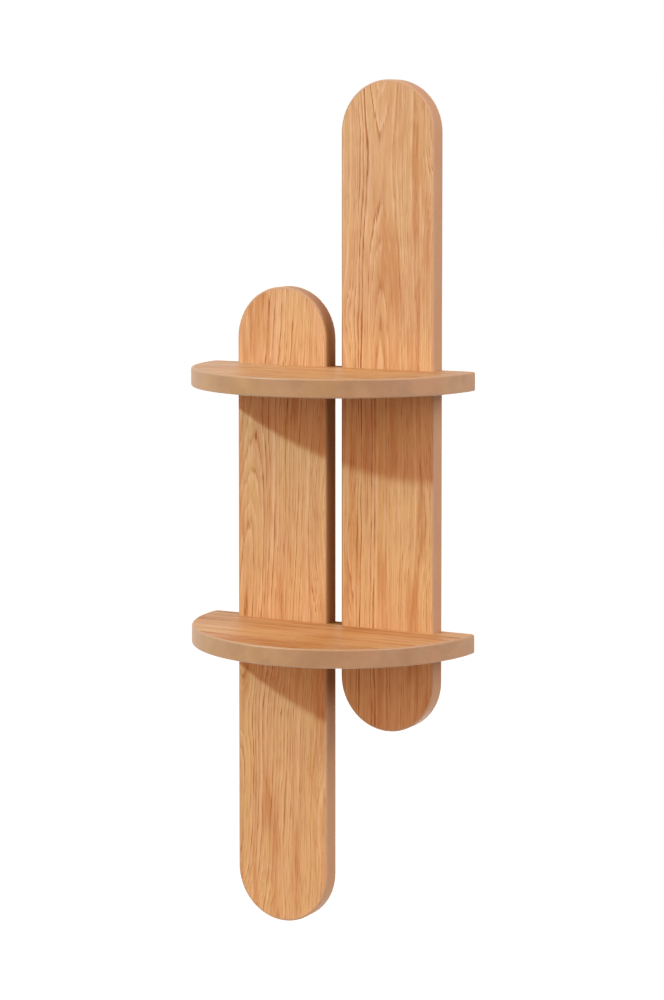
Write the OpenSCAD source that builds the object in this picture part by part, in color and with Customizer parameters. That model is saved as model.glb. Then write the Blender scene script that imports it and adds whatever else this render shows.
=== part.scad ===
// Wall shelf: two half-moon shelves notched round two staggered, pill-shaped boards.
// X runs to the right along the wall, Y into the wall, and Z up.
// The origin is on the wall plane, midway between the boards,
// at the middle of the upper shelf's thickness.

/* [Boards] */
// Width of each board
board_w = 100; // [80:1:120]
// Length of each board, end to end
board_l = 625; // [605:5:800]
// Thickness of the boards
board_t = 18; // [15:1:25]
// Gap between the two boards
board_gap = 15; // [10:1:40]
// Height of the left board's top end above the upper shelf's top face
left_rise = 76; // [70:1:100]
// How much higher the right board sits than the left one
stagger = 200; // [100:5:220]

/* [Shelves] */
// Radius of each shelf's half-moon curve
shelf_r = 144; // [130:1:200]
// Radius of the corners at the wall, which the curve runs into
corner_r = 6; // [4:0.5:20]
// Thickness of the shelves
shelf_t = 18; // [15:1:25]
// Height from one shelf to the next
shelf_spacing = 250; // [150:1:265]

/* [Panel build-up] */
// Thickness of the oak veneer on each face
veneer_t = 0.6; // [0.4:0.1:1]
// Thickness of the edge bands
band_t = 2; // [1:0.1:3]
// Radius of the rounded arrises of the edge bands
arris_r = 1.8; // [0.5:0.1:1.9]

/* [Joint screws] */
// Distance between the two screws of a crossing
joint_pitch = 56; // [44:1:60]
// Overall length
joint_l = 50; // [42:1:60]
// Diameter of the threaded end in the shelf
joint_shank_d = 5; // [4:0.1:6]
// Diameter of the plain shoulder in the board
joint_shoulder_d = 7; // [6.5:0.1:8]
// Length of the plain shoulder
joint_shoulder_l = 11; // [8:0.5:12]
// Diameter of the flat head
joint_head_d = 10; // [9:0.1:12]
// Height of the head's straight rim
joint_rim_h = 0.8; // [0.5:0.1:1.5]
// Width across flats of the hexagon socket
joint_hex = 4; // [3:0.5:5]
// Depth of the hexagon socket
joint_hex_depth = 2.6; // [2:0.1:4]
// How far the head lies below the back face
joint_sink = 0.5; // [0.2:0.1:1]

/* [Wall hangers] */
// Distance from a board's top end to the middle of its hanger plate
hanger_drop = 42; // [32:1:46]
// Length of the hanger plate
plate_l = 46; // [42:1:50]
// Width of the hanger plate
plate_w = 20; // [16:0.5:24]
// Thickness of the hanger plate
plate_t = 2; // [1.5:0.1:3]
// Diameter of the keyhole's entry, which takes the wall screw's head
entry_d = 10; // [8:0.1:11]
// Width of the keyhole's slot, which takes the wall screw's shank
slot_w = 5; // [4:0.1:6]
// Travel from the entry's middle up to the slot's end
slot_rise = 11; // [9:0.5:13]
// Depth left free for the wall screw's head behind the plate
head_room = 8; // [5:0.5:10]
// Side room round the wall screw's head behind the plate
head_side = 1; // [0.5:0.1:2]

/* [Hanger screws] */
// Distance between the two screws of a plate
plate_pitch = 34; // [32:0.5:35]
// Overall length
plate_screw_l = 12; // [10:1:14]
// Diameter of the shank
plate_screw_d = 3; // [2.5:0.1:3.5]
// Diameter of the countersunk head
plate_head_d = 5.6; // [5:0.1:6]
// Width of the cross recess
cross_w = 0.7; // [0.5:0.1:1]
// Depth of the cross recess
cross_depth = 0.9; // [0.6:0.1:1.1]

/* [Fits] */
// Clearance on each side of a board in its notch
notch_clear = 0.2; // [0.1:0.05:0.5]
// Clearance round a hanger plate in its recess
plate_clear = 0.2; // [0.1:0.05:0.5]
// Radial clearance round the screws
screw_clear = 0.1; // [0.05:0.05:0.3]
// Depth that each blind hole runs on past its screw's tip
tip_room = 1; // [0.5:0.5:2]

/* [Hidden] */
$fn = 96;

// Overshoot of a cutting shape past the face that it cuts
cut = 1;
// Left or right of the middle
board_x = (board_gap + board_w) / 2;
left_top = shelf_t / 2 + left_rise;
right_top = left_top + stagger;
left_mid = left_top - board_l / 2;
right_mid = right_top - board_l / 2;
upper_z = 0;
lower_z = upper_z - shelf_spacing;
notch_w = board_w + 2 * notch_clear;
tooth_w = board_gap - 2 * notch_clear;
// Middle of the quarter circle at each corner
corner_x = shelf_r - corner_r;
// The rounding never takes the whole band
round_r = min(arris_r, band_t - 0.1);
joint_cone_h = (joint_head_d - joint_shoulder_d) / 2;
joint_tip_l = joint_shank_d / 2;
joint_tip_d = joint_shank_d * 0.4;
plate_cone_h = (plate_head_d - plate_screw_d) / 2;
plate_tip_l = plate_screw_d;
plate_tip_d = plate_screw_d * 0.25;
cross_l = plate_head_d * 0.6;
// The keyhole is centred on the plate by its travel
entry_y = -slot_rise / 2;
slot_y = slot_rise / 2;

oak_color = [0.85, 0.62, 0.42];
band_color = [0.76, 0.59, 0.46];
fibre_color = [0.70, 0.55, 0.38];
zinc_color = [0.78, 0.79, 0.80];
steel_color = [0.62, 0.63, 0.65];

// Places a board's parts, which are drawn lying on their back:
// X across the board, Y up along it, Z from the wall to the front
module on_board(x, mid) {
    translate([x, 0, mid]) rotate([90, 0, 0]) children();
}

module on_left() {
    on_board(-board_x, left_mid) children();
}

module on_right() {
    on_board(board_x, right_mid) children();
}

// The two screw places where a board crosses the shelf at height z
module at_shelf_joints(mid, z) {
    for (side = [-1, 1])
        translate([side * joint_pitch / 2, z - mid, 0]) children();
}

// The four screw places of a board, two at each shelf
module at_joints(mid) {
    at_shelf_joints(mid, upper_z) children();
    at_shelf_joints(mid, lower_z) children();
}

module at_hanger() {
    translate([0, board_l / 2 - hanger_drop, 0]) children();
}

module at_plate_screws() {
    at_hanger() for (side = [-1, 1])
        translate([0, side * plate_pitch / 2, 0]) children();
}

// Pill outline: a straight middle between two half circles
module pill(w, l) {
    square([w, l - w], center = true);
    for (end = [-1, 1])
        translate([0, end * (l - w) / 2]) circle(d = w);
}

// What a rounded corner leaves over, with the rounding's centre at the origin
module corner_waste(r) {
    difference() {
        square(r + cut);
        circle(r = r);
    }
}

// A strip from x = 0 to x = w, h high, with the two corners at x = w rounded
module rounded_strip(w, h) {
    difference() {
        translate([0, -h / 2]) square([w, h]);
        for (side = [0, 1])
            mirror([0, side]) translate([w - round_r, h / 2 - round_r]) corner_waste(round_r);
    }
}

// Extrudes a section drawn in Y and Z along X
module along_x(l) {
    rotate([90, 0, 90]) linear_extrude(l, center = true) children();
}

// Boards

// Hole for a joint screw: head recess, cone and a clear way through the board
module joint_hole() {
    recess_h = joint_sink + joint_rim_h;
    head_r = joint_head_d / 2 + screw_clear;
    way_r = joint_shoulder_d / 2 + screw_clear;
    rotate_extrude() polygon([
        [0, -cut],
        [head_r, -cut],
        [head_r, recess_h],
        [way_r, recess_h + joint_cone_h],
        [way_r, board_t + cut],
        [0, board_t + cut]
    ]);
}

// Room behind the keyhole for the wall screw's head and its travel
module head_pocket() {
    pocket_w = entry_d + 2 * head_side;
    at_hanger() linear_extrude(plate_t + head_room) pill(pocket_w, pocket_w + slot_rise);
}

// Recess that takes the hanger plate flush with the back
module plate_recess() {
    at_hanger() translate([0, 0, -cut]) linear_extrude(plate_t + cut)
        pill(plate_w + 2 * plate_clear, plate_l + 2 * plate_clear);
}

module plate_screw_holes() {
    at_plate_screws() cylinder(d = plate_screw_d + 2 * screw_clear, h = plate_screw_l + tip_room);
}

// A layer of the board inside its edge band, from one depth to another
module board_layer(from, to) {
    translate([0, 0, from]) linear_extrude(to - from) pill(board_w - 2 * band_t, board_l - 2 * band_t);
}

module board_core(mid) {
    color(fibre_color) difference() {
        board_layer(veneer_t, board_t - veneer_t);
        at_joints(mid) joint_hole();
        plate_recess();
        head_pocket();
        plate_screw_holes();
    }
}

module board_front_veneer(mid) {
    color(oak_color) difference() {
        board_layer(board_t - veneer_t, board_t);
        at_joints(mid) joint_hole();
    }
}

module board_back_veneer(mid) {
    color(oak_color) difference() {
        board_layer(0, veneer_t);
        at_joints(mid) joint_hole();
        plate_recess();
    }
}

// One closed band round the board: two straight runs and two half rings
module board_edge_band() {
    straight_l = board_l - board_w;
    color(band_color) translate([0, 0, board_t / 2]) {
        for (side = [0, 1])
            mirror([side, 0, 0]) translate([board_w / 2 - band_t, 0, 0]) rotate([90, 0, 0])
                linear_extrude(straight_l, center = true) rounded_strip(band_t, board_t);
        for (end = [0, 1])
            mirror([0, end, 0]) translate([0, straight_l / 2, 0]) rotate_extrude(angle = 180)
                translate([board_w / 2 - band_t, 0]) rounded_strip(band_t, board_t);
    }
}

// Shelves

// Half-moon outline that runs into the round corners at the wall, set in from the edge
module half_moon(inset) {
    inner_r = shelf_r - inset;
    translate([0, -corner_r]) {
        intersection() {
            circle(r = inner_r);
            translate([-inner_r, -inner_r]) square([2 * inner_r, inner_r]);
        }
        translate([-corner_x, 0]) square([2 * corner_x, corner_r - inset]);
        for (side = [-1, 1])
            translate([side * corner_x, 0]) circle(r = corner_r - inset);
    }
}

// The panel inside its bands, with a notch for each board
module shelf_outline() {
    difference() {
        half_moon(band_t);
        for (side = [-1, 1])
            translate([side * board_x - notch_w / 2, -board_t]) square([notch_w, board_t]);
    }
}

module shelf_layer(from, to) {
    translate([0, 0, from]) linear_extrude(to - from) shelf_outline();
}

// Blind holes in the floors of the notches for the threaded ends
module shelf_pilot_holes() {
    depth = joint_sink + joint_l + tip_room;
    for (board = [-1, 1], side = [-1, 1])
        translate([board * board_x + side * joint_pitch / 2, 0, 0]) rotate([90, 0, 0])
            cylinder(d = joint_shank_d + 2 * screw_clear, h = depth);
}

module shelf_core() {
    color(fibre_color) difference() {
        shelf_layer(veneer_t - shelf_t / 2, shelf_t / 2 - veneer_t);
        shelf_pilot_holes();
    }
}

module shelf_top_veneer() {
    color(oak_color) shelf_layer(shelf_t / 2 - veneer_t, shelf_t / 2);
}

module shelf_bottom_veneer() {
    color(oak_color) shelf_layer(-shelf_t / 2, veneer_t - shelf_t / 2);
}

// One band from notch to notch: round the curve, the corners and the backs of the ears
module shelf_edge_band() {
    ear_x = board_x + notch_w / 2;
    ear_l = corner_x - ear_x;
    color(band_color) {
        translate([0, -corner_r, 0]) rotate_extrude(angle = 180, start = 180)
            translate([shelf_r - band_t, 0]) rounded_strip(band_t, shelf_t);
        for (side = [0, 1])
            mirror([side, 0, 0]) {
                translate([corner_x, -corner_r, 0]) rotate_extrude(angle = 90)
                    translate([corner_r - band_t, 0]) rounded_strip(band_t, shelf_t);
                translate([ear_x + ear_l / 2, 0, 0])
                    along_x(ear_l) translate([-band_t, 0]) rounded_strip(band_t, shelf_t);
            }
    }
}

// Short band on the back of the tooth between the boards
module shelf_tooth_band() {
    color(band_color) along_x(tooth_w)
        translate([-band_t, 0]) rounded_strip(band_t, shelf_t);
}

// Hardware

// Screw with a flat head, a plain shoulder and a threaded end, head at the wall side
module joint_screw() {
    cone_end = joint_rim_h + joint_cone_h;
    shoulder_end = cone_end + joint_shoulder_l;
    shank_r = joint_shank_d / 2;
    shoulder_r = joint_shoulder_d / 2;
    head_r = joint_head_d / 2;
    color(zinc_color) translate([0, 0, joint_sink]) difference() {
        rotate_extrude() polygon([
            [0, 0],
            [head_r, 0],
            [head_r, joint_rim_h],
            [shoulder_r, cone_end],
            [shoulder_r, shoulder_end],
            [shank_r, shoulder_end],
            [shank_r, joint_l - joint_tip_l],
            [joint_tip_d / 2, joint_l],
            [0, joint_l]
        ]);
        translate([0, 0, -cut])
            cylinder(d = joint_hex / cos(30), h = joint_hex_depth + cut, $fn = 6);
    }
}

module shelf_joint_screws(z) {
    on_left() at_shelf_joints(left_mid, z) joint_screw();
    on_right() at_shelf_joints(right_mid, z) joint_screw();
}

// Keyhole opening: the entry below, the slot running up from it
module keyhole() {
    translate([0, entry_y, -cut]) cylinder(d = entry_d, h = plate_t + 2 * cut);
    translate([0, slot_y, -cut]) cylinder(d = slot_w, h = plate_t + 2 * cut);
    translate([-slot_w / 2, entry_y, -cut]) cube([slot_w, slot_rise, plate_t + 2 * cut]);
}

// Countersunk screw hole in the plate, its wide end at the back
module plate_hole() {
    way_r = plate_screw_d / 2 + screw_clear;
    head_r = plate_head_d / 2 + screw_clear;
    rotate_extrude() polygon([
        [0, -cut],
        [head_r, -cut],
        [head_r, 0],
        [way_r, plate_cone_h],
        [way_r, plate_t + cut],
        [0, plate_t + cut]
    ]);
}

module hanger_plate() {
    color(steel_color) difference() {
        at_hanger() linear_extrude(plate_t) pill(plate_w, plate_l);
        at_hanger() keyhole();
        at_plate_screws() plate_hole();
    }
}

// Small countersunk screw with a cross recess
module plate_screw() {
    shank_r = plate_screw_d / 2;
    color(zinc_color) difference() {
        rotate_extrude() polygon([
            [0, 0],
            [plate_head_d / 2, 0],
            [shank_r, plate_cone_h],
            [shank_r, plate_screw_l - plate_tip_l],
            [plate_tip_d / 2, plate_screw_l],
            [0, plate_screw_l]
        ]);
        for (turn = [0, 90])
            rotate([0, 0, turn]) translate([-cross_l / 2, -cross_w / 2, -cut])
                cube([cross_l, cross_w, cross_depth + cut]);
    }
}

// Nodes

module left_board_core() { on_left() board_core(left_mid); }
module left_board_front_veneer() { on_left() board_front_veneer(left_mid); }
module left_board_back_veneer() { on_left() board_back_veneer(left_mid); }
module left_board_edge_band() { on_left() board_edge_band(); }
module right_board_core() { on_right() board_core(right_mid); }
module right_board_front_veneer() { on_right() board_front_veneer(right_mid); }
module right_board_back_veneer() { on_right() board_back_veneer(right_mid); }
module right_board_edge_band() { on_right() board_edge_band(); }
module upper_shelf_core() { translate([0, 0, upper_z]) shelf_core(); }
module upper_shelf_top_veneer() { translate([0, 0, upper_z]) shelf_top_veneer(); }
module upper_shelf_bottom_veneer() { translate([0, 0, upper_z]) shelf_bottom_veneer(); }
module upper_shelf_edge_band() { translate([0, 0, upper_z]) shelf_edge_band(); }
module upper_shelf_tooth_band() { translate([0, 0, upper_z]) shelf_tooth_band(); }
module lower_shelf_core() { translate([0, 0, lower_z]) shelf_core(); }
module lower_shelf_top_veneer() { translate([0, 0, lower_z]) shelf_top_veneer(); }
module lower_shelf_bottom_veneer() { translate([0, 0, lower_z]) shelf_bottom_veneer(); }
module lower_shelf_edge_band() { translate([0, 0, lower_z]) shelf_edge_band(); }
module lower_shelf_tooth_band() { translate([0, 0, lower_z]) shelf_tooth_band(); }
module left_hanger_plate() { on_left() hanger_plate(); }
module right_hanger_plate() { on_right() hanger_plate(); }
module left_hanger_screws() { on_left() at_plate_screws() plate_screw(); }
module right_hanger_screws() { on_right() at_plate_screws() plate_screw(); }
module upper_joint_screws() { shelf_joint_screws(upper_z); }
module lower_joint_screws() { shelf_joint_screws(lower_z); }

left_board_core();
left_board_front_veneer();
left_board_back_veneer();
left_board_edge_band();
right_board_core();
right_board_front_veneer();
right_board_back_veneer();
right_board_edge_band();
upper_shelf_core();
upper_shelf_top_veneer();
upper_shelf_bottom_veneer();
upper_shelf_edge_band();
upper_shelf_tooth_band();
lower_shelf_core();
lower_shelf_top_veneer();
lower_shelf_bottom_veneer();
lower_shelf_edge_band();
lower_shelf_tooth_band();
left_hanger_plate();
right_hanger_plate();
left_hanger_screws();
right_hanger_screws();
upper_joint_screws();
lower_joint_screws();
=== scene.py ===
import math

import bpy
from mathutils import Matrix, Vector


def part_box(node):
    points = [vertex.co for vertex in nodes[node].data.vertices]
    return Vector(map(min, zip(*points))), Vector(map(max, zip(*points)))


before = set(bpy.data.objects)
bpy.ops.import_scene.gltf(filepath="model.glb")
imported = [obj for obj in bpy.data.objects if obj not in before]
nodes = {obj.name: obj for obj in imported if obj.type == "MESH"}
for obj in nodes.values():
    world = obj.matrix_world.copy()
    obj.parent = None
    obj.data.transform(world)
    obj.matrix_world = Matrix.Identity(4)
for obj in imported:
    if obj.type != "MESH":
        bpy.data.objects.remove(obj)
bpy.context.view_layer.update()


print("loaded", len(nodes), "pieces of the wall shelf")


# small helpers for building materials
def newMaterial(name):
    made = bpy.data.materials.new(name)
    made.use_nodes = True
    made.node_tree.nodes.clear()
    return made


def addNode(tree, kind, inputs=None, **settings):
    # an input is either a number or colour, or the output of another node
    made = tree.nodes.new(kind)
    for key, value in settings.items():
        setattr(made, key, value)
    for key, value in (inputs or {}).items():
        if isinstance(value, bpy.types.NodeSocket):
            tree.links.new(value, made.inputs[key])
        else:
            made.inputs[key].default_value = value
    return made


def calc(tree, operation, first, second=0.0, third=0.0, clamp=False):
    values = {0: first, 1: second, 2: third}
    return addNode(tree, "ShaderNodeMath", values, operation=operation, use_clamp=clamp).outputs[0]


def stretch(tree, value, low, high, toLow=0.0, toHigh=1.0):
    # smooth remap of a value between two limits
    sockets = {"Value": value, "From Min": low, "From Max": high, "To Min": toLow, "To Max": toHigh}
    return addNode(tree, "ShaderNodeMapRange", sockets, interpolation_type="SMOOTHSTEP").outputs[0]


def noise(tree, place, scale, detail, rough):
    sockets = {"Vector": place, "Scale": scale, "Detail": detail, "Roughness": rough}
    return addNode(tree, "ShaderNodeTexNoise", sockets, noise_dimensions="3D").outputs[0]


def lineNoise(tree, value, scale, detail):
    # noise along one value only
    sockets = {"W": value, "Scale": scale, "Detail": detail}
    return addNode(tree, "ShaderNodeTexNoise", sockets, noise_dimensions="1D").outputs[0]


def blendColor(tree, amount, first, second, mode="MIX"):
    made = addNode(tree, "ShaderNodeMix", {0: amount}, data_type="RGBA", blend_type=mode)
    for key, value in ((6, first), (7, second)):     # the two colour sockets
        if isinstance(value, bpy.types.NodeSocket):
            tree.links.new(value, made.inputs[key])
        else:
            made.inputs[key].default_value = (*value, 1)
    return made.outputs[2]


def shadeColor(tree, color, tone):
    grey = addNode(tree, "ShaderNodeCombineColor", {0: tone, 1: tone, 2: tone}).outputs[0]
    return blendColor(tree, 1.0, color, grey, "MULTIPLY")


def toneRamp(tree, value, ends, tones):
    # smooth change of colour between two ends, with the place of each tone from 0 to 1
    low, high = ends
    made = addNode(tree, "ShaderNodeValToRGB",
                   {0: calc(tree, "DIVIDE", calc(tree, "SUBTRACT", value, low), high - low)})
    stops = made.color_ramp
    stops.interpolation = "EASE"
    while len(stops.elements) > 1:
        stops.elements.remove(stops.elements[-1])
    for number, (where, tone) in enumerate(tones):
        stop = stops.elements.new(where) if number else stops.elements[0]
        stop.position, stop.color = where, (*tone, 1)
    return made.outputs[0]


def finishMaterial(made, color, rough, bump, gloss, strength, depth):
    tree = made.node_tree
    relief = addNode(tree, "ShaderNodeBump", {"Height": bump, "Strength": strength, "Distance": depth})
    shader = addNode(tree, "ShaderNodeBsdfPrincipled",
                     {"Base Color": color, "Roughness": rough, "Specular IOR Level": gloss,
                      "Normal": relief.outputs[0]})
    addNode(tree, "ShaderNodeOutputMaterial", {0: shader.outputs[0]})
    return shader


def dress(piece, material):
    mesh = nodes[piece].data
    mesh.materials.clear()
    mesh.materials.append(material)


# where the tones of a piece start and end: upwards on a board, from left to right on a shelf
toneEnds = {"board": (-0.54, 0.285), "shelf": (-0.144, 0.144)}

# painted shade in the slot between the boards, where the wood is painted darker and redder and made
# duller
slotShade = {
    "across": (0.0077, 0.024),      # from its middle: full shade up to here, and none from there on
    "front": (-0.0185, -0.0175),    # none at the front, full a little behind it
    "back": 0.0,
    "low": (-0.335, -0.295),        # the shade comes in upwards over this height
    "high": (0.045, 0.085),         # and goes out again over this one
    "shelf": (-0.02, 0.0),          # from under the upper shelf to above it
    "frontDepth": (0.75, 0.84),     # how dark the front is, under the upper shelf and above it
    "backDepth": (0.82, 0.0),       # the same at the back
    "paintedShade": (0.52, 0.37, 0.19),
    "rough": 0.4,
}


def paintShadeInSlot(tree, parts, color, rough):
    # paints the shade of the slot into the colour, and makes the surface rougher there
    x, y, z = parts[0], parts[1], parts[2]
    front = stretch(tree, z, *slotShade["shelf"], *slotShade["frontDepth"])
    back = stretch(tree, z, slotShade["shelf"][1], slotShade["high"][0], *slotShade["backDepth"])
    shadeAmount = stretch(tree, calc(tree, "ABSOLUTE", x), *slotShade["across"], 1.0, 0.0)
    for limit in (stretch(tree, y, *slotShade["front"]),
                  stretch(tree, y, slotShade["front"][0], slotShade["back"], front, back),
                  stretch(tree, z, *slotShade["low"]),
                  stretch(tree, z, *slotShade["high"], 1.0, 0.0)):
        shadeAmount = calc(tree, "MULTIPLY", shadeAmount, limit)
    color = blendColor(tree, shadeAmount, color, slotShade["paintedShade"], "MULTIPLY")
    return color, calc(tree, "MULTIPLY_ADD", shadeAmount, slotShade["rough"], rough)


# oak veneer: growth rings that arch over the heart of the leaf and bend round a few closed figures
oak = {
    "light": (0.70, 0.425, 0.236),      # smooth wood between the rings
    "yellow": (0.715, 0.465, 0.240),    # the same, where it is less red
    "pale": (0.81, 0.555, 0.365),       # the last thin line of each ring
    "red": (0.56, 0.245, 0.092),        # soft patches
    "dark": (0.40, 0.135, 0.045),       # the porous start of each ring
    "slow": 0.009,                      # wide bends of the rings
    "kink": 0.004,                      # short bends
    "flutter": 0.0018,                  # fine trembling
    "fingers": 0.0022,                  # the rings' edges are torn into short fingers
    "years": (105, 2.0),                # good and bad years: scale and detail of the noise
    "yearSwing": 2.6,
    "ringStart": (0.0, 0.12),           # part of a year over which the porous wood comes in
    "ringEnd": (0.10, 0.40),            # and over which it goes out
    "ringLeast": 0.3,                   # strength of the weakest ring
    "ringSwing": 0.8,
    "faint": 0.3,                       # strength of the rings away from the combs
    "lateStart": (0.60, 0.9),           # part of a year over which the pale line comes in
    "lateDepth": 0.65,
    "patchDepth": 0.62,
    "ringDepth": 1.25,
    "dashDepth": 0.82,
    "dashOnRing": 0.7,                  # how much of the dashes shows on the rings alone
    "poreDepth": 0.25,
    "poreOnRing": 0.6,
    "threadDepth": 0.85,
    "streaks": 0.06,                    # depth of broad dark and light streaks
    "cloudDepth": 0.35,                 # how far clouds shift the yellow streaks
    "ground": 0.03,                     # darkness that is everywhere
    "cloudTone": (0.3, 0.7, 0.98, 1.02),
    "rough": (0.45, 0.60),              # smooth wood and dark wood
    "gloss": 0.07,
    "relief": (0.25, 0.0002),           # strength and depth
}

# the noises of the oak: scale across and along the grain, layer, detail, roughness
# range: limits between which a noise goes from none to full
sheets = {
    "slow": {"scales": (24, 2.6), "layer": 2.6, "detail": 1.0, "rough": 0.5},
    "kink": {"scales": (50, 11), "layer": 3.1, "detail": 2.0, "rough": 0.5},
    "flutter": {"scales": (170, 32), "layer": 3.7, "detail": 2.0, "rough": 0.5},
    "fingers": {"scales": (560, 11), "layer": 10.4, "detail": 2.0, "rough": 0.6},
    "fade": {"scales": (110, 22), "layer": 4.4, "detail": 3.0, "rough": 0.6,
             "range": (0.36, 0.60, 0.25, 1.0)},
    "dash": {"scales": (1 / 0.001, 1 / 0.018), "layer": 8.2, "detail": 2.0, "rough": 0.5,
             "range": (0.46, 0.72)},
    "pore": {"scales": (1 / 0.00035, 1 / 0.005), "layer": 9.1, "detail": 2.0, "rough": 0.55,
             "range": (0.50, 0.70)},
    "thread": {"scales": (460, 6), "layer": 7.9, "detail": 4.0, "rough": 0.65},
    "cloud": {"scales": (7, 18), "layer": 6.1, "detail": 2.0, "rough": 0.5},
    "streak": {"scales": (70, 5), "layer": 5.3, "detail": 2.5, "rough": 0.55, "range": (0.34, 0.66)},
    "patch": {"scales": (80, 8), "layer": 12.7, "detail": 3.0, "rough": 0.6, "range": (0.48, 0.70)},
    "broad": {"scales": (60, 4), "layer": 14.3, "detail": 3.0, "rough": 0.6, "range": (0.36, 0.64)},
}

# tints over the oak: place between the tone ends, and the colour there; some of them paint light
tintsWithPaintedLight = {
    # the boards get darker and more yellow towards the bottom, in part a painted shade that offsets the
    # low lamp's light there
    "board": ((0.14, (0.975, 0.925, 0.815)), (0.52, (1.0, 0.990, 0.905)), (0.86, (0.965, 1.0, 1.0))),
    # the shelves are darker and yellower than the boards, and paler and bluer at their left ends, which
    # is a painted sheen
    "upper": ((0.1432, (0.828, 0.910, 0.965)), (0.3151, (0.825, 0.828, 0.740)),
              (0.4870, (0.815, 0.780, 0.680)), (0.6016, (0.785, 0.735, 0.580)),
              (0.7734, (0.775, 0.750, 0.625)), (0.9453, (0.735, 0.720, 0.680))),
    "lower": ((0.1432, (0.885, 0.890, 0.865)), (0.3151, (0.857, 0.778, 0.626)),
              (0.4870, (0.825, 0.740, 0.575)), (0.6016, (0.783, 0.655, 0.445)),
              (0.7448, (0.835, 0.757, 0.625)), (0.9740, (0.860, 0.790, 0.665))),
}

# heart: its place across the leaf, how far it leans along it, and how deep below the leaf it lay
# swells: deeper places along the leaf, with their half length
# figures: place across and along, half width, half length and depth
# combs: distance from the heart, half width and strength of close dark lines
leaves = {
    "left_board_front_veneer": {
        "seed": 3.0, "ringWidth": 0.0032, "heart": (-0.086, 0.055, 0.005), "faint": 0.34,
        "swells": ((0.100, 0.070, 0.010), (-0.030, 0.110, 0.016), (-0.335, 0.045, 0.009),
                   (-0.545, 0.050, 0.018)),
        "figures": ((-0.012, -0.130, 0.016, 0.060, 0.0080), (-0.018, -0.245, 0.009, 0.045, -0.0085),
                    (-0.020, -0.425, 0.010, 0.050, 0.0075), (-0.055, -0.540, 0.011, 0.045, -0.0100),
                    (-0.014, 0.050, 0.008, 0.022, 0.0055)),
        "combs": ((0.029, 0.011, 0.60), (0.066, 0.012, 0.50), (0.007, 0.005, 0.35),
                  (-0.007, 0.005, 0.35))},
    "left_board_back_veneer": {
        "seed": 41.0, "ringWidth": 0.0038, "heart": (-0.050, 0.02, 0.006),
        "swells": ((0.010, 0.10, 0.020), (-0.330, 0.08, 0.022)),
        "figures": ((-0.020, -0.150, 0.012, 0.070, 0.008),),
        "combs": ((-0.030, 0.012, 0.6), (0.034, 0.012, 0.5))},
    "right_board_front_veneer": {
        "seed": 11.0, "ringWidth": 0.0034, "heart": (0.050, 0.0, 0.004), "faint": 0.24,
        "swells": ((0.200, 0.130, 0.014),),
        "figures": ((0.013, -0.165, 0.008, 0.070, -0.0085), (0.012, 0.060, 0.008, 0.034, -0.0060),
                    (0.101, -0.130, 0.009, 0.055, -0.0095), (0.106, 0.185, 0.012, 0.040, -0.0080),
                    (0.078, -0.225, 0.011, 0.040, 0.0050)),
        "combs": ((-0.018, 0.012, 0.75), (0.045, 0.014, 0.25))},
    "right_board_back_veneer": {
        "seed": 53.0, "ringWidth": 0.0037, "heart": (0.060, 0.02, 0.006),
        "swells": ((0.200, 0.09, 0.020), (-0.120, 0.11, 0.020)),
        "figures": ((0.025, 0.030, 0.012, 0.070, -0.010),),
        "combs": ((-0.030, 0.012, 0.5), (0.030, 0.012, 0.6))},
    "upper_shelf_top_veneer": {
        "seed": 23.0, "ringWidth": 0.0060, "heart": (-0.8, 0.0, 0.0), "streaks": 0.32, "gloss": 0.10,
        "swells": (),
        "figures": ((-0.060, -0.040, 0.012, 0.070, 0.016),),
        "combs": ((0.765, 0.012, 0.4), (0.700, 0.020, 0.4))},
    "upper_shelf_bottom_veneer": {
        "seed": 61.0, "ringWidth": 0.0045, "heart": (-0.075, 0.0, 0.006),
        "swells": ((0.030, 0.09, 0.018),),
        "figures": (),
        "combs": ((0.030, 0.012, 0.5),)},
    "lower_shelf_top_veneer": {
        "seed": 31.0, "ringWidth": 0.0070, "heart": (-0.8, 0.0, 0.0), "streaks": 0.44, "gloss": 0.09,
        "swells": (),
        "figures": ((-0.090, 0.040, 0.013, 0.080, 0.020), (-0.030, -0.100, 0.010, 0.060, 0.012)),
        "combs": ((0.765, 0.014, 0.9), (0.700, 0.020, 0.6))},
    "lower_shelf_bottom_veneer": {
        "seed": 71.0, "ringWidth": 0.0045, "heart": (-0.060, 0.0, 0.006),
        "swells": ((-0.050, 0.09, 0.018),),
        "figures": (),
        "combs": ((0.034, 0.012, 0.5),)},
}


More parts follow.
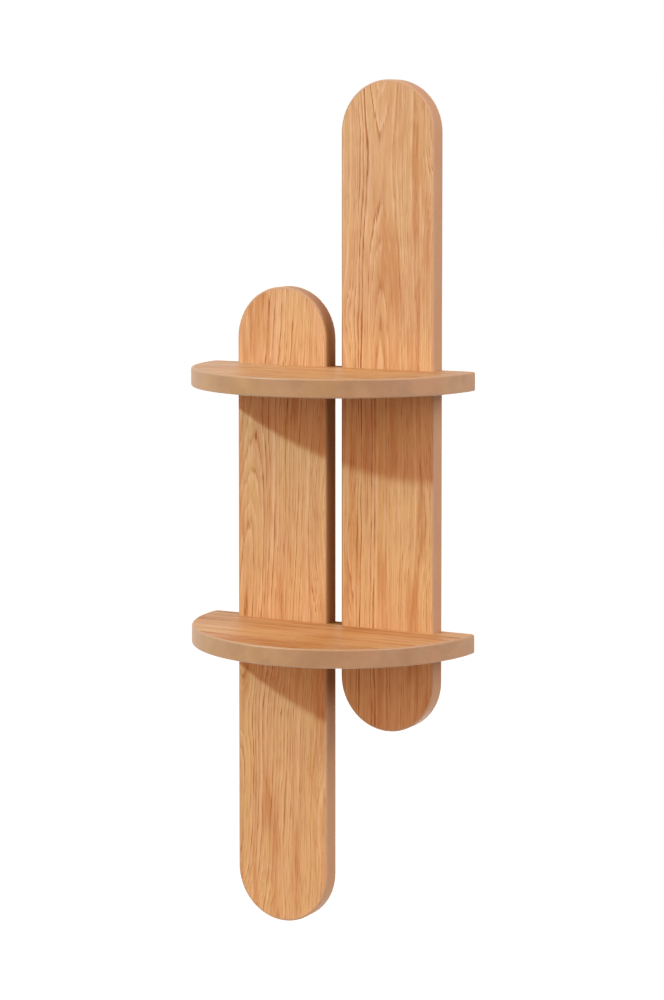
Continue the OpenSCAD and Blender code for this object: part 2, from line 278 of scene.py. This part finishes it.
def oakMaterial(name, leaf, kind, tones):
    look = {**oak, **leaf}
    made = newMaterial(name)
    tree = made.node_tree
    place = addNode(tree, "ShaderNodeTexCoord").outputs["Object"]
    parts = addNode(tree, "ShaderNodeSeparateXYZ", {0: place}).outputs
    # the grain runs upwards on a board and from left to right on a shelf
    across, along = (parts[1], parts[0]) if kind == "shelf" else (parts[0], parts[2])
    middle, lean, depth = look["heart"]
    heart = calc(tree, "MULTIPLY_ADD", along, lean, middle)

    def sheet(layerName):
        layer = sheets[layerName]
        acrossScale, alongScale = layer["scales"]
        spot = addNode(tree, "ShaderNodeCombineXYZ", {
            0: calc(tree, "MULTIPLY", across, acrossScale),
            1: calc(tree, "MULTIPLY", along, alongScale),
            2: look["seed"] + layer["layer"],
        }).outputs[0]
        return noise(tree, spot, 1, layer["detail"], layer["rough"])

    def ranged(layerName):
        return stretch(tree, sheet(layerName), *sheets[layerName]["range"])

    def centred(value):
        return calc(tree, "SUBTRACT", value, 0.5)

    def squared(value, centre, width):
        off = calc(tree, "DIVIDE", calc(tree, "SUBTRACT", value, centre), width)
        return calc(tree, "MULTIPLY", off, off)

    def hump(reach, height, base):
        fall = calc(tree, "EXPONENT", calc(tree, "MULTIPLY", reach, -1.0))
        return calc(tree, "MULTIPLY_ADD", fall, height, base)

    def mostlyOnRing(value, share):
        return calc(tree, "MULTIPLY", value, calc(tree, "MULTIPLY_ADD", ring, share, 1 - share))

    # growth runs outwards from the heart, and swells or shrinks at each figure
    side = across
    for bend in ("slow", "kink", "flutter"):
        side = calc(tree, "MULTIPLY_ADD", centred(sheet(bend)), look[bend], side)
    for alongPlace, length, amount in look["swells"]:
        depth = hump(squared(along, alongPlace, length), amount, depth)
    growth = calc(tree, "SQRT", calc(tree, "MULTIPLY_ADD", depth, depth, squared(side, heart, 1.0)))
    for acrossPlace, alongPlace, width, length, amount in look["figures"]:
        reach = calc(tree, "ADD", squared(side, acrossPlace, width), squared(along, alongPlace, length))
        growth = hump(reach, amount, growth)
    growth = calc(tree, "MULTIPLY_ADD", centred(sheet("fingers")), look["fingers"], growth)

    # good and bad years: some rings are wide or strong and some are hardly seen
    years = lineNoise(tree, calc(tree, "ADD", growth, look["seed"]), *look["years"])
    phase = calc(tree, "DIVIDE", growth, look["ringWidth"])
    phase = calc(tree, "MULTIPLY_ADD", centred(years), look["yearSwing"], phase)
    step = calc(tree, "FRACT", phase)
    count = calc(tree, "FLOOR", phase)
    power = addNode(tree, "ShaderNodeTexWhiteNoise", {"W": count}, noise_dimensions="1D").outputs[0]
    ring = calc(tree, "MULTIPLY", stretch(tree, step, *look["ringStart"]),
                stretch(tree, step, *look["ringEnd"], 1.0, 0.0))
    power = calc(tree, "MULTIPLY_ADD", power, look["ringSwing"], look["ringLeast"])
    ring = calc(tree, "MULTIPLY", ring, power)
    outward = calc(tree, "SIGN", calc(tree, "SUBTRACT", side, heart))
    outward = calc(tree, "MULTIPLY", growth, outward)
    comb = look["faint"]
    for distance, width, strength in look["combs"]:
        comb = hump(squared(outward, distance, width), strength, comb)
    ring = calc(tree, "MULTIPLY", calc(tree, "MULTIPLY", ring, comb), ranged("fade"))

    # pores and groups of pores: short fine dashes, thickest at the start of each ring
    dash = mostlyOnRing(ranged("dash"), look["dashOnRing"])
    pore = mostlyOnRing(ranged("pore"), look["poreOnRing"])

    # yellow streaks, pale lines and soft red patches
    cloud = sheet("cloud")
    streak = calc(tree, "MULTIPLY_ADD", centred(cloud), look["cloudDepth"], sheet("streak"))
    streak = stretch(tree, streak, *sheets["streak"]["range"])
    color = blendColor(tree, streak, look["light"], look["yellow"])
    late = calc(tree, "MULTIPLY", stretch(tree, step, *look["lateStart"]), look["lateDepth"])
    color = blendColor(tree, late, color, look["pale"])
    patch = calc(tree, "MULTIPLY", ranged("patch"), look["patchDepth"])
    color = blendColor(tree, patch, color, look["red"])

    # dark wood: rings, dashes, pores, threads along the grain and broad streaks
    dark = calc(tree, "MULTIPLY", ring, look["ringDepth"])
    for value, share in ((dash, look["dashDepth"]), (pore, look["poreDepth"]),
                         (centred(sheet("thread")), look["threadDepth"]),
                         (centred(ranged("broad")), look["streaks"])):
        dark = calc(tree, "MULTIPLY_ADD", value, share, dark)
    dark = calc(tree, "ADD", dark, look["ground"], clamp=True)
    color = blendColor(tree, dark, color, look["dark"])
    color = shadeColor(tree, color, stretch(tree, cloud, *look["cloudTone"]))
    # tints along the piece, including the painted shade and painted sheen listed in the tints
    color = blendColor(tree, 1.0, color, toneRamp(tree, along, toneEnds[kind], tones), "MULTIPLY")
    rough = stretch(tree, dark, 0.0, 1.0, *look["rough"])
    # painted shade where a shelf's tooth sits in the slot between the boards
    if kind == "shelf":
        color, rough = paintShadeInSlot(tree, parts, color, rough)
    relief = calc(tree, "MULTIPLY", dark, -1.0)
    finishMaterial(made, color, rough, relief, look["gloss"], *look["relief"])
    return made


for piece, leaf in leaves.items():
    kind = "shelf" if "shelf" in piece else "board"
    tones = tintsWithPaintedLight[piece.split("_")[0] if kind == "shelf" else kind]
    dress(piece, oakMaterial(piece + "Oak", leaf, kind, tones))
print("oak veneer on the boards and shelves")


# plain edge bands, lighter along the arrises: partly rubbed wear, partly a painted highlight
# tones: place between the tone ends, and the colour there; on the shelves the brighter left end and the
# paler, bluer right end are a painted sheen, and the darker stretch right of the middle a painted shade
bandLooks = {
    "board": {
        "tones": ((0.0, (0.548, 0.365, 0.232)),), "warm": (0.565, 0.340, 0.215),
        "wearAndHighlight": (0.56, 0.372, 0.238), "mottle": 0.03, "rough": (0.45, 0.55), "gloss": 0.10},
    "shelf": {
        "tones": ((0.0, (0.475, 0.265, 0.140)), (0.33, (0.482, 0.294, 0.143)),
                  (0.71, (0.402, 0.245, 0.119)), (0.92, (0.430, 0.300, 0.184)),
                  (1.0, (0.455, 0.325, 0.195))), "warm": (0.440, 0.257, 0.155),
        "wearAndHighlight": (0.50, 0.325, 0.185), "mottle": 0.08, "rough": (0.34, 0.44), "gloss": 0.48},
}

# what all bands share; blush, cloud and grain are the scale, detail and roughness of a noise
bands = {
    "blush": (26, 2.0, 0.5),
    "blushRange": (0.44, 0.62, 0.0, 0.45),      # warm clouds, and how strong they get
    "cloud": (34, 3.0, 0.6),
    "cloudRange": (0.35, 0.65),
    "roughRange": (0.3, 0.7),
    "grain": (700, 3.0, 0.6),
    "grainTone": (0.25, 0.75, 0.96, 1.03),
    "lighterArrisStart": 0.0020,                         # from the face of the panel inwards
    "lighterArrisFull": 0.0008,
    "arrisBreakup": (0.3, 0.6, 0.55, 0.9),              # the grain breaks up the lighter arris, both its wear and its painted highlight
    "relief": (0.12, 0.0001),
}

# a seed for each band, so that no two have the same clouds
bandSeeds = {
    "left_board_edge_band": 0.0,
    "right_board_edge_band": 4.0,
    "upper_shelf_edge_band": 7.0,
    "lower_shelf_edge_band": 9.0,
    "upper_shelf_tooth_band": 12.0,
    "lower_shelf_tooth_band": 15.0,
}


def bandMaterial(name, look, seed, axis, middle, half):
    made = newMaterial(name)
    tree = made.node_tree
    place = addNode(tree, "ShaderNodeTexCoord").outputs["Object"]
    parts = addNode(tree, "ShaderNodeSeparateXYZ", {0: place}).outputs
    moved = addNode(tree, "ShaderNodeVectorMath", {0: place, 1: (seed, seed, seed)},
                    operation="ADD").outputs[0]
    cloud = noise(tree, moved, *bands["cloud"])
    grain = noise(tree, moved, *bands["grain"])
    blush = stretch(tree, noise(tree, moved, *bands["blush"]), *bands["blushRange"])
    color = blendColor(tree, blush, toneRamp(tree, parts[0], toneEnds["shelf"], look["tones"]),
                       look["warm"])
    mottle = stretch(tree, cloud, *bands["cloudRange"], 1 - look["mottle"], 1 + look["mottle"])
    color = shadeColor(tree, color, mottle)
    fromMiddle = calc(tree, "ABSOLUTE", calc(tree, "SUBTRACT", parts[axis], middle))
    # lighter arris: partly rubbed wear, partly a painted highlight
    wearAndHighlightAmount = stretch(tree, fromMiddle, half - bands["lighterArrisStart"], half - bands["lighterArrisFull"])
    wearAndHighlightAmount = calc(tree, "MULTIPLY", wearAndHighlightAmount, stretch(tree, grain, *bands["arrisBreakup"]))
    color = blendColor(tree, wearAndHighlightAmount, color, look["wearAndHighlight"])
    color = shadeColor(tree, color, stretch(tree, grain, *bands["grainTone"]))
    rough = stretch(tree, cloud, *bands["roughRange"], *look["rough"])
    # painted shade in the slot between the boards
    color, rough = paintShadeInSlot(tree, parts, color, rough)
    finishMaterial(made, color, rough, grain, look["gloss"], *bands["relief"])
    return made


for piece, seed in bandSeeds.items():
    kind, axis = ("shelf", 2) if "shelf" in piece else ("board", 1)     # axis across the panel
    lowest, highest = (corner[axis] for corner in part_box(piece))
    dress(piece, bandMaterial(piece + "Finish", bandLooks[kind], seed, axis,
                              (lowest + highest) / 2, (highest - lowest) / 2))
print("edge bands")


# fibreboard, steel and zinc: two tones, speckled and clouded
# on: the end of the names of the pieces that it is for
speckles = {
    "fibreboardCore": {"first": (0.42, 0.27, 0.14), "second": (0.52, 0.35, 0.2), "scale": 1400,
                       "rough": (0.85, 0.95), "metal": 0.0, "relief": 0.0002, "on": "_core"},
    "stampedSteel": {"first": (0.50, 0.51, 0.53), "second": (0.60, 0.61, 0.63), "scale": 900,
                     "rough": (0.28, 0.42), "metal": 1.0, "relief": 0.00005, "on": "_plate"},
    "zincPlate": {"first": (0.62, 0.62, 0.60), "second": (0.74, 0.74, 0.71), "scale": 1100,
                  "rough": (0.22, 0.36), "metal": 1.0, "relief": 0.00004, "on": "_screws"},
}

# what the three share; speck and cloud are the detail and roughness of a noise
specks = {
    "speck": (4.0, 0.65),
    "cloud": (2.0, 0.5),
    "cloudSize": 20,        # clouds are this many times larger than specks
    "cloudShare": 0.4,
    "toneRange": (0.35, 0.65),
    "roughRange": (0.3, 0.7),
    "gloss": 0.5,
    "strength": 0.3,
}


def speckleMaterial(name, look):
    made = newMaterial(name)
    tree = made.node_tree
    place = addNode(tree, "ShaderNodeTexCoord").outputs["Object"]
    speck = noise(tree, place, look["scale"], *specks["speck"])
    cloud = noise(tree, place, look["scale"] / specks["cloudSize"], *specks["cloud"])
    mixed = calc(tree, "MULTIPLY", speck, 1 - specks["cloudShare"])
    mixed = calc(tree, "MULTIPLY_ADD", cloud, specks["cloudShare"], mixed)
    mixed = stretch(tree, mixed, *specks["toneRange"])
    color = blendColor(tree, mixed, look["first"], look["second"])
    rough = stretch(tree, cloud, *specks["roughRange"], *look["rough"])
    shader = finishMaterial(made, color, rough, speck, specks["gloss"], specks["strength"],
                            look["relief"])
    shader.inputs["Metallic"].default_value = look["metal"]
    return made


for name, look in speckles.items():
    made = speckleMaterial(name, look)
    for piece in nodes:
        if piece.endswith(look["on"]):
            dress(piece, made)
print("cores, hanger plates and screws")


# azimuth: from straight ahead of the wall towards its right end; rise: upwards
# level: how brightly the lamp lights a surface that faces it
studio = {
    "aim": (0.0, -0.02, -0.12),
    "lamps": {
        "keyLamp": {"azimuth": -34.2, "rise": 29.6, "distance": 5.29, "size": 0.3, "level": 0.54,
                    "color": (0.67, 1.0, 1.07)},
        "sideLamp": {"azimuth": 84.0, "rise": 30.0, "distance": 3.0, "size": 2.2, "level": 0.44,
                     "color": (1, 1, 1)},
        "backLamp": {"azimuth": -160.0, "rise": -35.0, "distance": 3.0, "size": 2.0, "level": 0.35,
                     "color": (1, 1, 1)},
        "lowLamp": {"azimuth": 0.0, "rise": -84.5, "distance": 1.45, "size": 0.5, "level": 0.18,
                    "color": (1, 1, 1)},
    },
    "roomColor": (1.62, 0.975, 0.695),
    "roomFront": 0.68,
    "roomBehind": 0.2,
    "roomTurn": (-0.15, 0.25),      # over which the room gets darker towards the wall
    "floorHeight": -1.7,
    "floorSize": 60.0,
    "floorColor": (0.35, 0.35, 0.35),
    "floorGlow": 0.9,
}


def areaLamp(name, lamp):
    turn, rise, reach = math.radians(lamp["azimuth"]), math.radians(lamp["rise"]), lamp["distance"]
    ahead = math.cos(rise)
    gap = Vector((math.sin(turn) * ahead, -math.cos(turn) * ahead, math.sin(rise))) * reach
    data = bpy.data.lights.new(name, "AREA")
    data.shape = "DISK"
    data.size = lamp["size"]
    data.energy = lamp["level"] * math.pi ** 2 * reach ** 2
    data.color = lamp["color"]
    made = bpy.data.objects.new(name, data)
    made.location = Vector(studio["aim"]) + gap
    made.rotation_euler = gap.to_track_quat("Z", "Y").to_euler()
    bpy.context.scene.collection.objects.link(made)


for name, lamp in studio["lamps"].items():
    areaLamp(name, lamp)


def whiteForEyes(tree):
    # 1 for what the camera sees itself, in a reflection or through glass
    path = addNode(tree, "ShaderNodeLightPath").outputs
    seen = calc(tree, "MAXIMUM", path["Is Camera Ray"], path["Is Glossy Ray"])
    return calc(tree, "MAXIMUM", seen, path["Is Transmission Ray"])


world = bpy.data.worlds.new("studioWorld")
world.use_nodes = True
bpy.context.scene.world = world
tree = world.node_tree
tree.nodes.clear()
toward = addNode(tree, "ShaderNodeTexCoord").outputs["Generated"]
toward = addNode(tree, "ShaderNodeSeparateXYZ", {0: toward}).outputs[1]
level = stretch(tree, toward, *studio["roomTurn"], studio["roomFront"], studio["roomBehind"])
room = addNode(tree, "ShaderNodeBackground", {"Color": (*studio["roomColor"], 1), "Strength": level})
white = addNode(tree, "ShaderNodeBackground", {"Color": (1, 1, 1, 1), "Strength": 1.0})
both = addNode(tree, "ShaderNodeMixShader",
               {0: whiteForEyes(tree), 1: room.outputs[0], 2: white.outputs[0]})
addNode(tree, "ShaderNodeOutputWorld", {0: both.outputs[0]})

floorMesh = bpy.data.meshes.new("floorMesh")
half, low = studio["floorSize"] / 2, studio["floorHeight"]
corners = [(x, y, low) for x, y in ((-half, -half), (half, -half), (half, half), (-half, half))]
floorMesh.from_pydata(corners, [], [(0, 1, 2, 3)])
floor = bpy.data.objects.new("floor", floorMesh)
bpy.context.scene.collection.objects.link(floor)
paint = newMaterial("floorPaint")
tree = paint.node_tree
matt = addNode(tree, "ShaderNodeBsdfDiffuse", {"Color": (*studio["floorColor"], 1)})
glow = addNode(tree, "ShaderNodeEmission", {"Strength": studio["floorGlow"]})
lit = addNode(tree, "ShaderNodeAddShader", {0: matt.outputs[0], 1: glow.outputs[0]})
mixed = addNode(tree, "ShaderNodeMixShader",
                {0: whiteForEyes(tree), 1: matt.outputs[0], 2: lit.outputs[0]})
addNode(tree, "ShaderNodeOutputMaterial", {0: mixed.outputs[0]})
floorMesh.materials.append(paint)

# the camera stands to the right of the shelf, turns left towards it and looks slightly down
view = {
    "place": (1.285147, -2.391477, 0.2346),
    "pitch": -0.05952,      # radians
    "turn": 0.49704,        # radians
    "lens": 101.2,
    "sensor": 36,
    "shiftY": -0.2,
    "farthest": 200,
}
cameraData = bpy.data.cameras.new("camera")
cameraData.lens = view["lens"]
cameraData.sensor_width = view["sensor"]
cameraData.shift_y = view["shiftY"]
cameraData.clip_end = view["farthest"]
camera = bpy.data.objects.new("camera", cameraData)
camera.location = view["place"]
camera.rotation_euler = (math.pi / 2 + view["pitch"], 0, view["turn"])
bpy.context.scene.collection.objects.link(camera)
bpy.context.scene.camera = camera
bpy.context.scene.view_settings.view_transform = "Standard"
print("light, floor and camera")
